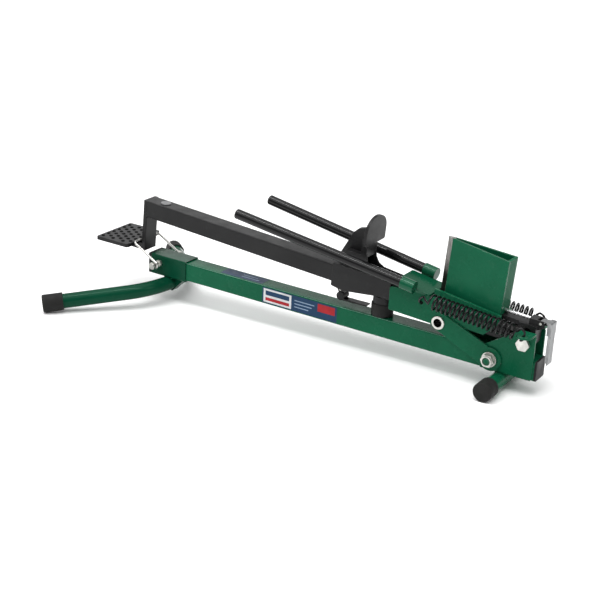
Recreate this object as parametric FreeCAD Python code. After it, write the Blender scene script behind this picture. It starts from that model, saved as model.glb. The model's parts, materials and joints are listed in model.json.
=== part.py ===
import FreeCAD, Part
import math
import os

# Foot-operated horizontal log splitter, in millimetres.
# Lever parts are drawn in the "beam frame": X along the base beam from the left end of the end
# sleeve to the pivot end, Y across (0 on the centre plane, near side negative), Z up from the
# beam's underside.  The finished pieces are then turned by the small slope the beam has when its
# feet stand on the floor, and moved so that the origin is at the middle of the footprint.

V = FreeCAD.Vector
Y_AXIS = V(0, 1, 0)

# ---- driving dimensions -------------------------------------------------------------------
BEAM = 40.0                   # square base beam, outside
WALL = 2.5                    # wall of the square tubes
BEAM_END = 908.0              # beam's pivot end
SLEEVE_LENGTH = 96.0
SLEEVE_WALL = 2.6
LIP = 3.5                     # right face of the plug's lip, where the sleeve starts
TUBE = 32.0                   # round stand tubes, outside diameter
HALF = BEAM / 2

PIVOT = V(820, 0, 24)         # lever pivot, centre of the M16 bolt
ANCHOR = V(882.5, 0, 71)       # fixed bolt that drives the draw fork
LATCH = V(26, 0, 26)          # bolt that the wire bail hooks on
M16 = 16.0
M16_FLATS = 24.0

ARM_TILT = 3.77               # the arm falls towards the pivot end by this angle
ARM_HALF_WIDTH = 19.6
ARM_HEIGHT = 37.0
ARM_TOP = 79.0                # arm's top face above the pivot, square to the arm
ARM_LEFT = -838.0             # arm's free end, along the arm from the pivot
ARM_RIGHT = 16.0

BRACKET_INNER = HALF          # bracket plates are welded on the beam's sides
BRACKET_THICK = 4.0
LEVER_GAP = 0.4
PLATE_THICK = 4.0
PLATE_INNER = BRACKET_INNER + BRACKET_THICK + LEVER_GAP
PLATE_OUTER = PLATE_INNER + PLATE_THICK
RUNNING_FIT = 0.05            # radial clearance of a pin in its bush

BED_TILT = 8.9                # the log bed falls towards the pivot end by this angle
BED_START = V(612, 0, 135)    # left end of the bed's top face
BAR_DIAMETER = 21.0
BAR_TIP = V(253.6, 60, 198)    # free end of a log bar
BAR_ROOT = V(633, 47, 138.7)   # where it enters its socket
SOCKET_LENGTH = 28.0

SPRING_HOLE = V(668, 0, 100)  # hole in each lever plate for a spring's hook
SPRING_Y = 45.5
SPRING_DIAMETER = 32.0
SPRING_WIRE = 4.2
SPRING_LEFT = V(690, 0, 116)
SPRING_RIGHT = V(872, 0, 99.5)

PEDAL_TOP = 64.0
FOOT_BOLT_REACH = 46.0        # half the distance between the latch bolt's outer faces
BAIL_Y = 41.0
BAIL_WIRE = 5.0
BAIL_PIVOT = V(-30.6, 0, 66)

os.makedirs("parts", exist_ok=True)
pieces = {}


# ---- small shape helpers ------------------------------------------------------------------
def block(x0, x1, y0, y1, z0, z1):
    return Part.makeBox(x1 - x0, y1 - y0, z1 - z0, V(x0, y0, z0))


def across(x, z, radius, y0, y1):
    """Round bar along Y."""
    return Part.makeCylinder(radius, y1 - y0, V(x, y0, z), Y_AXIS)


def plate(points, y0, y1):
    """Flat plate with an outline in the XZ plane, from y0 to y1."""
    corners = [V(x, y0, z) for x, z in points]
    face = Part.Face(Part.makePolygon(corners + [corners[0]]))
    return face.extrude(V(0, y1 - y0, 0))


def flat(points, z0, z1):
    """Flat plate with an outline in the XY plane, from z0 to z1."""
    corners = [V(x, y, z0) for x, y in points]
    face = Part.Face(Part.makePolygon(corners + [corners[0]]))
    return face.extrude(V(0, 0, z1 - z0))


def hexagon(x, z, flats, y0, y1):
    radius = flats / math.sqrt(3)
    ring = [(x + radius * math.cos(math.radians(60 * i)), z + radius * math.sin(math.radians(60 * i)))
            for i in range(6)]
    bevel = Part.makeCone(radius + 1.2, radius - 0.6, (y1 - y0) / 2, V(x, (y0 + y1) / 2, z), Y_AXIS)
    low = Part.makeCone(radius - 0.6, radius + 1.2, (y1 - y0) / 2, V(x, y0, z), Y_AXIS)
    return plate(ring, y0, y1).common(bevel.fuse(low))


def rod(start, end, radius):
    return Part.makeCylinder(radius, (end - start).Length, start, end - start)


def mirror(shape):
    return shape.mirror(V(0, 0, 0), Y_AXIS)


def both(shape):
    return Part.makeCompound([shape, mirror(shape)])


def round_edges(shape, radius, axis, keep=lambda edge: True):
    """Fillet the straight edges that run along one axis."""
    chosen = []
    for edge in shape.Edges:
        if edge.Curve.TypeId != "Part::GeomLine":
            continue
        if abs(abs(edge.tangentAt(edge.FirstParameter).dot(axis)) - 1) < 1e-6 and keep(edge):
            chosen.append(edge)
    return shape.makeFillet(radius, chosen) if chosen else shape


def square_tube(x0, x1, half_y, z0, z1, wall, corner):
    outer = round_edges(block(x0, x1, -half_y, half_y, z0, z1), corner, V(1, 0, 0))
    inner = block(x0 - 1, x1 + 1, wall - half_y, half_y - wall, z0 + wall, z1 - wall)
    return outer.cut(inner)


def turned(shape, angle, centre):
    moved = shape.copy()
    moved.rotate(centre, Y_AXIS, angle)
    return moved


def on_arm(shape):
    """Take a shape from the arm's own frame (origin at the pivot, X along the arm)."""
    moved = shape.copy()
    moved.translate(PIVOT)
    return turned(moved, ARM_TILT, PIVOT)


def arm_point(u, y, w):
    """Beam-frame place of a point given along and above the arm."""
    place = FreeCAD.Placement(PIVOT, FreeCAD.Rotation(Y_AXIS, ARM_TILT))
    return place.multVec(V(u, y, w))


def add(name, *shapes):
    solids = [solid for shape in shapes for solid in shape.Solids]
    pieces[name] = solids[0] if len(solids) == 1 else Part.makeCompound(solids)


# ---- base: beam, sleeve and feet ----------------------------------------------------------
def make_beam():
    beam = square_tube(17, BEAM_END, HALF, 0, BEAM, WALL, 3.0)
    holes = across(PIVOT.x, PIVOT.z, M16 / 2 + 0.2, -HALF - 1, HALF + 1)
    holes = holes.fuse(across(LATCH.x, LATCH.z, 4.2, -HALF - 1, HALF + 1))
    add("base_beam", beam.cut(holes))
    lip = round_edges(block(BEAM_END, BEAM_END + 4, -HALF, HALF, 0, BEAM), 3.0, V(1, 0, 0))
    plug = block(BEAM_END - 18, BEAM_END, WALL + 0.2 - HALF, HALF - WALL - 0.2,
                 WALL + 0.2, BEAM - WALL - 0.2)
    hollow = block(BEAM_END - 19, BEAM_END - 1, WALL + 3 - HALF, HALF - WALL - 3, WALL + 3, BEAM - WALL - 3)
    add("beam_end_cap", lip.fuse(plug).cut(hollow))


def make_sleeve():
    half = HALF + SLEEVE_WALL + 0.2
    sleeve = round_edges(block(LIP, SLEEVE_LENGTH, -half, half, HALF - half, HALF + half), 2.5, V(1, 0, 0))
    sleeve = sleeve.cut(block(-1, SLEEVE_LENGTH + 1, -HALF - 0.2, HALF + 0.2, -0.2, BEAM + 0.2))
    sleeve = sleeve.cut(across(LATCH.x, LATCH.z, 4.2, -half - 1, half + 1))
    add("end_sleeve", sleeve)
    lip = round_edges(block(-4, LIP, -half, half, HALF - half, HALF + half), 2.5, V(1, 0, 0))
    plug = block(LIP, 16, 0.2 - HALF, HALF - 0.2, 0.2, BEAM - 0.2)
    add("sleeve_end_plug", lip.fuse(plug).cut(block(2, 17, 3 - HALF, HALF - 3, 3, BEAM - 3)))
    reach = FOOT_BOLT_REACH
    bolt = across(LATCH.x, LATCH.z, 4.0, -reach, reach + 7)
    add("latch_bolt", bolt.fuse(hexagon(LATCH.x, LATCH.z, 14, -reach - 6, -reach)))
    bore = across(LATCH.x, LATCH.z, 4.0, -60, 60)
    lock = hexagon(LATCH.x, LATCH.z, 13, half, half + 6)
    outer = hexagon(LATCH.x, LATCH.z, 14, reach - 2, reach + 5)
    add("latch_nuts", lock.cut(bore), mirror(lock).cut(bore), outer.cut(bore))


LEG_APEX = V(44.6, 0, -SLEEVE_WALL - 0.2 - TUBE / 2)
LEG_TILT = 8.8                # the bent leg's plane falls towards its two ends
LEG_BEND = 142.0
LEG_SWEEP = 47.0
LEG_STRAIGHT = 176.0
LEG_CAP = 40.0
CAP_RADIUS = 19.2


def leg_local(u, y):
    fall = math.radians(LEG_TILT)
    return V(LEG_APEX.x - u * math.cos(fall), y, LEG_APEX.z - u * math.sin(fall))


def make_leg():
    sweep = math.radians(LEG_SWEEP)
    bend_u = LEG_BEND * (1 - math.cos(sweep))
    bend_y = LEG_BEND * math.sin(sweep)
    mid_u = LEG_BEND * (1 - math.cos(sweep / 2))
    mid_y = LEG_BEND * math.sin(sweep / 2)
    direction = (math.sin(sweep), math.cos(sweep))
    end_u = bend_u + LEG_STRAIGHT * direction[0]
    end_y = bend_y + LEG_STRAIGHT * direction[1]

    arc = Part.Arc(leg_local(bend_u, -bend_y), leg_local(0, 0), leg_local(bend_u, bend_y)).toShape()
    near = Part.LineSegment(leg_local(end_u, -end_y), leg_local(bend_u, -bend_y)).toShape()
    far = Part.LineSegment(leg_local(bend_u, bend_y), leg_local(end_u, end_y)).toShape()
    path = Part.Wire([near, arc, far])
    start = leg_local(end_u, -end_y)
    along = near.tangentAt(near.FirstParameter)

    def pipe(radius):
        ring = Part.Wire(Part.makeCircle(radius, start, along))
        swept = Part.Solid(path.makePipeShell([ring], True, True))
        if swept.Volume < 0:
            swept.reverse()
        return swept

    add("stabiliser_leg", pipe(TUBE / 2).cut(pipe(TUBE / 2 - 2)))
    caps = []
    for side in (-1, 1):
        tip = leg_local(end_u + 4 * direction[0], side * (end_y + 4 * direction[1]))
        inner = leg_local(end_u, side * end_y)
        back = leg_local(end_u - LEG_CAP * direction[0], side * (end_y - LEG_CAP * direction[1]))
        cap = rod(back, tip, CAP_RADIUS)
        rim = max((edge for edge in cap.Edges if edge.Curve.TypeId == "Part::GeomCircle"),
                  key=lambda edge: -(edge.CenterOfMass - tip).Length)
        cap = cap.makeFillet(2.5, [rim])
        caps.append(cap.cut(rod(back, inner, TUBE / 2 + 0.05)))
    add("leg_feet", *caps)
    web = plate([(52, -2.8), (81, -2.8), (76, -11), (51, -37), (37, -37), (37, -34)], -10, 10)
    web = web.cut(plate([(30, 2), (75, 2), (74, -8), (50, -34), (30, -34)], -7, 7))
    fall = math.radians(LEG_TILT)
    bend = Part.makeTorus(LEG_BEND, TUBE / 2 + 0.05, leg_local(LEG_BEND, 0), V(-math.sin(fall), 0, math.cos(fall)))
    add("leg_gusset", web.cut(bend))
    return leg_local(end_u + 4 * direction[0], end_y + 4 * direction[1]), direction


CROSS_X = 839.0
CROSS_HALF = 89.0
CROSS_CAP = 33.0


def make_cross_tube():
    tube = across(CROSS_X, -TUBE / 2, TUBE / 2, -CROSS_HALF, CROSS_HALF)
    add("cross_tube", tube.cut(across(CROSS_X, -TUBE / 2, TUBE / 2 - 2, -CROSS_HALF - 1, CROSS_HALF + 1)))
    cap = across(CROSS_X, -TUBE / 2, CAP_RADIUS, CROSS_HALF + 4 - CROSS_CAP, CROSS_HALF + 4)
    rim = [edge for edge in cap.Edges if edge.Curve.TypeId == "Part::GeomCircle"
           and edge.CenterOfMass.y > CROSS_HALF]
    cap = cap.makeFillet(2.5, rim)
    hollow = across(CROSS_X, -TUBE / 2, TUBE / 2 + 0.05, CROSS_HALF - CROSS_CAP - 1, CROSS_HALF)
    add("cross_tube_feet", both(cap.cut(hollow)))


# ---- base: bracket and its bolts ----------------------------------------------------------
TAB_CENTRE = 889.0
TAB_RADIUS = 15.5
TAB_TOP = 96.0
TAB_REACH = 55.0


def make_bracket():
    outline = [(797, 2), (905, 2), (905, 93), (864, 89), (826, 64), (797, 45)]
    side = plate(outline, BRACKET_INNER, BRACKET_INNER + BRACKET_THICK)
    side = round_edges(side, 6.0, Y_AXIS)
    ear = block(TAB_CENTRE - TAB_RADIUS, TAB_CENTRE + TAB_RADIUS, BRACKET_INNER,
                TAB_REACH - TAB_RADIUS, TAB_TOP - 4, TAB_TOP)
    tip = Part.makeCylinder(TAB_RADIUS, 4, V(TAB_CENTRE, TAB_REACH - TAB_RADIUS, TAB_TOP - 4))
    hole = Part.makeCylinder(4.0, 20, V(TAB_CENTRE, SPRING_Y, TAB_TOP - 10))
    side = side.fuse(ear.fuse(tip)).cut(hole).removeSplitter()
    for centre in (PIVOT, ANCHOR):
        side = side.cut(across(centre.x, centre.z, M16 / 2 + 0.2, 0, 60))
    add("bracket_plate_far", side)
    add("bracket_plate_near", mirror(side))

    face = PLATE_OUTER + 0.3
    washer = across(PIVOT.x, PIVOT.z, 15, face, face + 3).cut(across(PIVOT.x, PIVOT.z, M16 / 2, 0, 60))
    add("pivot_washers", both(washer))
    shank = across(PIVOT.x, PIVOT.z, M16 / 2, -face - 13.5, face + 3)
    add("pivot_bolt", shank.fuse(hexagon(PIVOT.x, PIVOT.z, M16_FLATS, face + 3, face + 13)))
    nut = hexagon(PIVOT.x, PIVOT.z, M16_FLATS, -face - 12, -face - 3)
    collar = across(PIVOT.x, PIVOT.z, 10.5, -face - 15, -face - 11)
    bore = across(PIVOT.x, PIVOT.z, M16 / 2, -60, 0)
    add("pivot_nut", nut.fuse(collar).cut(bore))
    spacer = across(PIVOT.x, PIVOT.z, 11, WALL - HALF, HALF - WALL)
    add("pivot_spacer", spacer.cut(across(PIVOT.x, PIVOT.z, M16 / 2 + 0.2, -HALF, HALF)))

    plate_face = BRACKET_INNER + BRACKET_THICK
    anchor = across(ANCHOR.x, ANCHOR.z, M16 / 2, -plate_face, plate_face + 16)
    add("anchor_bolt", anchor.fuse(hexagon(ANCHOR.x, ANCHOR.z, M16_FLATS, -plate_face - 7, -plate_face)))
    nut = hexagon(ANCHOR.x, ANCHOR.z, M16_FLATS, plate_face, plate_face + 13)
    add("anchor_nut", nut.cut(across(ANCHOR.x, ANCHOR.z, M16 / 2, 0, 60)))
    spacer = across(ANCHOR.x, ANCHOR.z, 10.5, FORK_HALF_WIDTH + 0.5, BRACKET_INNER)
    add("anchor_spacers", both(spacer.cut(across(ANCHOR.x, ANCHOR.z, M16 / 2, 0, 60))))


# ---- lever: plates, arm and pedal ---------------------------------------------------------
BUSH = V(707.6, 0, 68.8)
BUSH_BORE = 17.0
BUSH_RADIUS = 13.5


def make_lever_plates():
    outline = [(598, 68), (598, 115), (640, 121), (706, 115.5), (710, 91), (813, 49), (824, 24),
               (801, 9), (697, 57), (690, 63)]
    body = round_edges(plate(outline, PLATE_INNER, PLATE_OUTER), 2.5, Y_AXIS)
    body = body.fuse(across(PIVOT.x, PIVOT.z, 23.5, PLATE_INNER, PLATE_OUTER)).removeSplitter()
    body = body.cut(across(PIVOT.x, PIVOT.z, 11, 0, 60)).cut(across(BUSH.x, BUSH.z, BUSH_RADIUS, 0, 60))
    body = body.cut(across(SPRING_HOLE.x, SPRING_HOLE.z, 4.0, 0, 60))
    add("lever_plate_far", body)
    add("lever_plate_near", mirror(body))
    ring = across(PIVOT.x, PIVOT.z, 11, PLATE_INNER, PLATE_OUTER)
    add("pivot_bushes", both(ring.cut(across(PIVOT.x, PIVOT.z, M16 / 2 + RUNNING_FIT, 0, 60))))
    reach = PLATE_OUTER + 3
    bush = across(BUSH.x, BUSH.z, BUSH_RADIUS, -reach, reach)
    rims = [edge for edge in bush.Edges if edge.Curve.TypeId == "Part::GeomCircle"]
    bush = bush.makeFillet(1.0, rims)
    add("lock_pin_bush", bush.cut(across(BUSH.x, BUSH.z, BUSH_BORE / 2, -60, 60)))
    wall = plate([(618.2, 79.4), (618.2, 131.5), (692, 120), (692, 133), (706, 132), (832, 113.3),
                  (832, 98), (800.5, 67.3)], ARM_HALF_WIDTH, PLATE_INNER)
    wall = wall.cut(pieces["cross_plate"]).cut(across(BUSH.x, BUSH.z, BUSH_RADIUS, 0, 60))
    add("channel_walls", both(wall))


SLOT_LEFT = -760.0            # slot in the arm's underside that the pawl reaches through
SLOT_RIGHT = ARM_RIGHT + 1
SLOT_HALF = 9.0


def make_arm():
    low = ARM_TOP - ARM_HEIGHT
    tube = square_tube(ARM_LEFT, ARM_RIGHT, ARM_HALF_WIDTH, low, ARM_TOP, WALL, 3.0)
    slot = block(SLOT_LEFT, SLOT_RIGHT, -SLOT_HALF, SLOT_HALF, low - 1, low + WALL + 1)
    button = Part.makeCylinder(9.0, 20, V(ARM_LEFT + 36, 0, ARM_TOP - 10))
    bush = across(BUSH.x, BUSH.z, BUSH_RADIUS, -60, 60)
    add("arm_tube", on_arm(tube.cut(slot).cut(button)).cut(bush))
    cap = Part.makeCylinder(11.0, 1.8, V(ARM_LEFT + 36, 0, ARM_TOP))
    stem = Part.makeCylinder(9.0, 6, V(ARM_LEFT + 36, 0, ARM_TOP - 6))
    add("arm_button", on_arm(cap.fuse(stem)))
    post = block(ARM_LEFT - POST_THICK, ARM_LEFT, -ARM_HALF_WIDTH, ARM_HALF_WIDTH, POST_LOW, ARM_TOP)
    add("arm_post", on_arm(round_edges(post, 2.0, V(0, 0, 1))))


POST_THICK = 10.0
POST_LOW = -36.5              # post's lower end in the arm's frame
PEDAL_LEFT = -123.0
PEDAL_RIGHT = -36.5
PEDAL_HALF = 58.0
PEDAL_SHEET = 3.0


def make_pedal():
    sheet = flat([(PEDAL_LEFT, -PEDAL_HALF), (PEDAL_RIGHT - 3, -PEDAL_HALF), (PEDAL_RIGHT, -PEDAL_HALF + 5),
                  (PEDAL_RIGHT, PEDAL_HALF - 5), (PEDAL_RIGHT - 3, PEDAL_HALF), (PEDAL_LEFT, PEDAL_HALF)],
                 PEDAL_TOP - 8, PEDAL_TOP)
    sheet = round_edges(sheet, 3.0, V(0, 0, 1))
    under = block(PEDAL_LEFT + PEDAL_SHEET, PEDAL_RIGHT - PEDAL_SHEET, -PEDAL_HALF + PEDAL_SHEET,
                  PEDAL_HALF - PEDAL_SHEET, PEDAL_TOP - 9, PEDAL_TOP - PEDAL_SHEET)
    sheet = sheet.cut(under)
    rows = 6
    columns = 6
    for row in range(rows):
        for column in range(columns):
            x = PEDAL_LEFT + 9 + row * 14.0
            y = -PEDAL_HALF + 12 + column * 18.0 + (9.0 if row % 2 else 0.0)
            if y < PEDAL_HALF - 8:
                sheet = sheet.cut(Part.makeCylinder(2.6, 8, V(x, y, PEDAL_TOP - 5)))
    add("pedal_plate", sheet)
    cheek = plate([(-92, PEDAL_TOP - PEDAL_SHEET), (-40, PEDAL_TOP - PEDAL_SHEET), (-40, 58), (-25.9, 57),
                   (-27.3, 43), (-58, 44)], 14, 18)
    tie = plate([(-58, 44), (-27.3, 43), (-27.1, 46), (-58, 47)], -14, 14)
    post = on_arm(block(ARM_LEFT - POST_THICK, ARM_LEFT, -30, 30, POST_LOW - 20, ARM_TOP))
    bracket = cheek.fuse(mirror(cheek)).fuse(tie).cut(post).cut(pieces["pedal_plate"])
    add("pedal_bracket", bracket.removeSplitter())
    lug = across(BAIL_PIVOT.x, BAIL_PIVOT.z, 4.4, 10, 16)
    lug = lug.fuse(block(BAIL_PIVOT.x, -24, 10, 16, BAIL_PIVOT.z - 3.5, BAIL_PIVOT.z + 3.5)).cut(post)
    lug = lug.cut(across(BAIL_PIVOT.x, BAIL_PIVOT.z, BAIL_WIRE / 2 + RUNNING_FIT, 0, 30))
    add("bail_lugs", both(lug))


def make_bail():
    """One bent wire: cross bar through the lugs, two legs, and a hook round the latch bolt."""
    wire = BAIL_WIRE / 2
    reach = 7.3               # wire centre to bolt centre in the hook
    span = V(LATCH.x - BAIL_PIVOT.x, 0, LATCH.z - BAIL_PIVOT.z)
    slant = math.atan2(span.z, span.x) + math.asin(reach / span.Length)
    normal = V(-math.sin(slant), 0, math.cos(slant))
    along = V(math.cos(slant), 0, math.sin(slant))
    touch = V(LATCH.x, 0, LATCH.z) + normal * reach
    corner = 7.0
    start_angle = math.atan2(normal.z, normal.x)
    end_angle = math.radians(-55)
    mid_angle = (start_angle + end_angle) / 2

    def on_hook(angle, y):
        return V(LATCH.x + reach * math.cos(angle), y, LATCH.z + reach * math.sin(angle))

    pivot = V(BAIL_PIVOT.x, 0, BAIL_PIVOT.z)
    edges = []
    for side in (-1, 1):
        y = side * BAIL_Y
        leg_start = pivot + along * corner + V(0, y, 0)
        bar_end = pivot + V(0, y - side * corner, 0)
        turn = corner * (1 - math.cos(math.radians(45)))
        bend_mid = pivot + along * turn + V(0, y - side * turn, 0)
        leg = Part.LineSegment(leg_start, touch + V(0, y, 0)).toShape()
        bend = Part.Arc(bar_end, bend_mid, leg_start).toShape()
        hook = Part.Arc(touch + V(0, y, 0), on_hook(mid_angle, y), on_hook(end_angle, y)).toShape()
        edges.append([bend, leg, hook])
    bar = Part.LineSegment(pivot + V(0, corner - BAIL_Y, 0), pivot + V(0, BAIL_Y - corner, 0)).toShape()
    solids = []
    cross_bar = rod(pivot + V(0, corner - BAIL_Y, 0), pivot + V(0, BAIL_Y - corner, 0), wire)
    for group in edges:
        path = Part.Wire(group)
        first = group[0]
        ring = Part.Wire(Part.makeCircle(wire, first.valueAt(first.FirstParameter),
                                         first.tangentAt(first.FirstParameter)))
        solids.append(path.makePipeShell([ring], True, True))
    add("wire_bail", cross_bar.fuse(solids).removeSplitter())


# ---- lever: log bed, bars, wedge, buffer --------------------------------------------------
def on_bed(shape):
    """Take a shape from the bed's own frame (origin at BED_START, X along the bed)."""
    moved = shape.copy()
    moved.translate(BED_START)
    return turned(moved, BED_TILT, BED_START)


def make_bed():
    axis = (BAR_ROOT - BAR_TIP).normalize()
    inner_end = BAR_ROOT + axis * (SOCKET_LENGTH - 4)
    bar = rod(BAR_TIP, inner_end, BAR_DIAMETER / 2)
    ends = [edge for edge in bar.Edges if edge.Curve.TypeId == "Part::GeomCircle"
            and (edge.CenterOfMass - BAR_TIP).Length < 1]
    bar = bar.makeFillet(2.0, ends)
    hole_at = BAR_ROOT - axis * 50
    bar = bar.cut(Part.makeCylinder(2.5, 40, hole_at - V(0, 0, 20)))
    plank = on_bed(round_edges(block(0, 77, -36, 36, -5, 0), 4.0, V(0, 0, 1)))
    plank = plank.cut(bar).cut(mirror(bar))
    add("cross_plate", plank)
    socket = rod(BAR_ROOT, BAR_ROOT + axis * SOCKET_LENGTH, BAR_DIAMETER / 2 + 2.2)
    socket = socket.cut(rod(BAR_ROOT - axis, inner_end, BAR_DIAMETER / 2 + 0.02))
    add("log_bar_far", bar)
    add("log_bar_near", mirror(bar))
    add("bar_sockets", both(socket.cut(plank)))


WEDGE_FRONT = -133.0          # wedge's cutting edge along the arm
WEDGE_BACK = 3.0
WEDGE_FRONT_TOP = 203.5
WEDGE_BACK_TOP = 196.5
WEDGE_SHEET = 5.0
BLADE_LENGTH = 11.0
BLADE_HALF = 5.0


def make_wedge():
    half = ARM_HALF_WIDTH
    nose = WEDGE_FRONT + BLADE_LENGTH
    over = WEDGE_FRONT_TOP + 20
    lid = plate([(WEDGE_FRONT, WEDGE_FRONT_TOP), (WEDGE_BACK, WEDGE_BACK_TOP), (WEDGE_BACK + 9, WEDGE_BACK_TOP),
                 (WEDGE_BACK + 9, over), (WEDGE_FRONT - 9, over), (WEDGE_FRONT - 9, WEDGE_FRONT_TOP)], -40, 40)

    def upright(points):
        return flat(points, ARM_TOP, over - 1).cut(lid)

    blade = upright([(WEDGE_FRONT, 0), (nose, -BLADE_HALF), (nose + 4, -2), (nose + 4, 2), (nose, BLADE_HALF)])
    cheek = upright([(nose, BLADE_HALF), (WEDGE_BACK, half), (WEDGE_BACK, half - WEDGE_SHEET),
                     (nose + 4, 2), (nose, BLADE_HALF - 2)]).cut(blade)
    back = upright([(WEDGE_BACK - 5, WEDGE_SHEET - half + 0.6), (WEDGE_BACK, WEDGE_SHEET - half),
                    (WEDGE_BACK, half - WEDGE_SHEET), (WEDGE_BACK - 5, half - WEDGE_SHEET - 0.6)])
    bore = Part.makeCylinder(ROD_DIAMETER / 2 + RUNNING_FIT, 40, V(WEDGE_BACK - 20, 0, ROD_HEIGHT), V(1, 0, 0))
    add("wedge_blade", on_arm(blade))
    add("wedge_cheeks", on_arm(both(cheek)))
    foot = block(WEDGE_BACK - 20, WEDGE_BACK + 1, -TONGUE_HALF - 0.4, TONGUE_HALF + 0.4, ARM_TOP - 1,
                 TONGUE_TOP + 0.4)
    add("wedge_back", on_arm(back.cut(both(cheek)).cut(bore).cut(foot)))


def make_buffer():
    x = 570.0
    arm_low = on_arm(block(-300, -200, -30, 30, ARM_TOP - ARM_HEIGHT, ARM_TOP + 60))
    stem = Part.makeCylinder(20, 40, V(x, 0, 68)).cut(arm_low)
    stem = max(stem.Solids, key=lambda solid: -solid.CenterOfMass.z)
    add("buffer_stem", stem)
    pad = Part.makeCylinder(22.5, 27.5, V(x, 0, BEAM + 0.5))
    rims = [edge for edge in pad.Edges if edge.Curve.TypeId == "Part::GeomCircle"]
    add("rubber_buffer", pad.makeFillet(3.0, rims))


# ---- draw gear: rack, fork, guide rod, release plate --------------------------------------
RACK_HALF = 15.0
RACK_TOP = 75.5
RACK_THICK = 10.0
TOOTH_PITCH = 12.0
TOOTH_DEPTH = 3.5
RACK_LEFT = -680.0
TEETH_RIGHT = -310.0
FORK_LEFT = 40.0
FORK_RIGHT = 88.0
FORK_HALF_WIDTH = 16.0
FORK_TOP = 100.0
ROD_HEIGHT = 95.0
ROD_DIAMETER = 7.0
ROD_LEFT = -26.0
ROD_RIGHT = 71.0
HINGE_U = 80.0                # release plate's hinge pin in the arm's frame
HINGE_W = ROD_HEIGHT
TONGUE_LEFT = -2.0            # fork's tongue under the guide rod, into the wedge's open foot
TONGUE_HALF = 11.0
TONGUE_LOW = ARM_TOP + 0.6
TONGUE_TOP = 88.0
HEAD_HALF = 11.0
HEAD_LEFT = 57.0              # fork's raised head round the rod's end


def make_draw_gear():
    low = RACK_TOP - RACK_THICK
    outline = [(FORK_LEFT, RACK_TOP), (RACK_LEFT, RACK_TOP), (RACK_LEFT, low)]
    u = RACK_LEFT + 10
    while u < TEETH_RIGHT:
        outline += [(u, low), (u + TOOTH_PITCH - 2, low - TOOTH_DEPTH), (u + TOOTH_PITCH, low)]
        u += TOOTH_PITCH
    outline += [(FORK_LEFT, low)]
    add("draw_rack", on_arm(plate(outline, -RACK_HALF, RACK_HALF)))

    anchor = arm_frame(ANCHOR)
    gap = M16 / 2 + 1.2
    fork = plate([(FORK_LEFT, 44), (FORK_LEFT, TONGUE_TOP), (FORK_RIGHT - 13, TONGUE_TOP),
                  (FORK_RIGHT - 13, 50), (FORK_RIGHT - 17, 47)], -FORK_HALF_WIDTH, FORK_HALF_WIDTH)
    head = plate([(HEAD_LEFT, 80), (HEAD_LEFT, FORK_TOP), (FORK_RIGHT - 7, FORK_TOP), (FORK_RIGHT, 95),
                  (FORK_RIGHT, 88), (FORK_RIGHT - 13, 80)], -HEAD_HALF, HEAD_HALF)
    fork = fork.fuse(head)
    tongue = block(TONGUE_LEFT, FORK_LEFT + 1, -TONGUE_HALF, TONGUE_HALF, TONGUE_LOW, TONGUE_TOP)
    fork = fork.fuse(tongue)
    slot_top = 71.5
    slot = block(anchor.x - gap, anchor.x + gap, -20, 20, 30, slot_top)
    slot = slot.fuse(across(anchor.x, slot_top, gap, -20, 20))
    hinge_gap = block(ROD_RIGHT + 0.5, FORK_RIGHT + 1, -8.5, 8.5, 83, FORK_TOP + 1)
    bore = Part.makeCylinder(ROD_DIAMETER / 2, 200, V(ROD_LEFT, 0, ROD_HEIGHT), V(1, 0, 0))
    pin_hole = across(HINGE_U, HINGE_W, 2.5, -20, 20)
    fork = fork.cut(slot).cut(hinge_gap).cut(bore).cut(pin_hole)
    add("draw_fork", on_arm(fork.removeSplitter()))
    guide = Part.makeCylinder(ROD_DIAMETER / 2, ROD_RIGHT - ROD_LEFT, V(ROD_LEFT, 0, ROD_HEIGHT), V(1, 0, 0))
    ends = [edge for edge in guide.Edges if edge.Curve.TypeId == "Part::GeomCircle"
            and edge.CenterOfMass.x < 0]
    add("guide_rod", on_arm(guide.makeFillet(1.2, ends)))
    add("release_pin", on_arm(across(HINGE_U, HINGE_W, 2.5, -HEAD_HALF - 2, HEAD_HALF + 2)))
    guides = []
    for u0 in (-660, -240, -50):
        guides.append(block(u0, u0 + 50, RACK_HALF + 0.5, ARM_HALF_WIDTH - WALL, low - 2, RACK_TOP))
    add("rack_guides", *[on_arm(shape) for guide in guides for shape in (guide, mirror(guide))])


STRIP_X = 928.0               # outer face of the release plate's hanging strip
STRIP_LOW = 35.0


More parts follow.
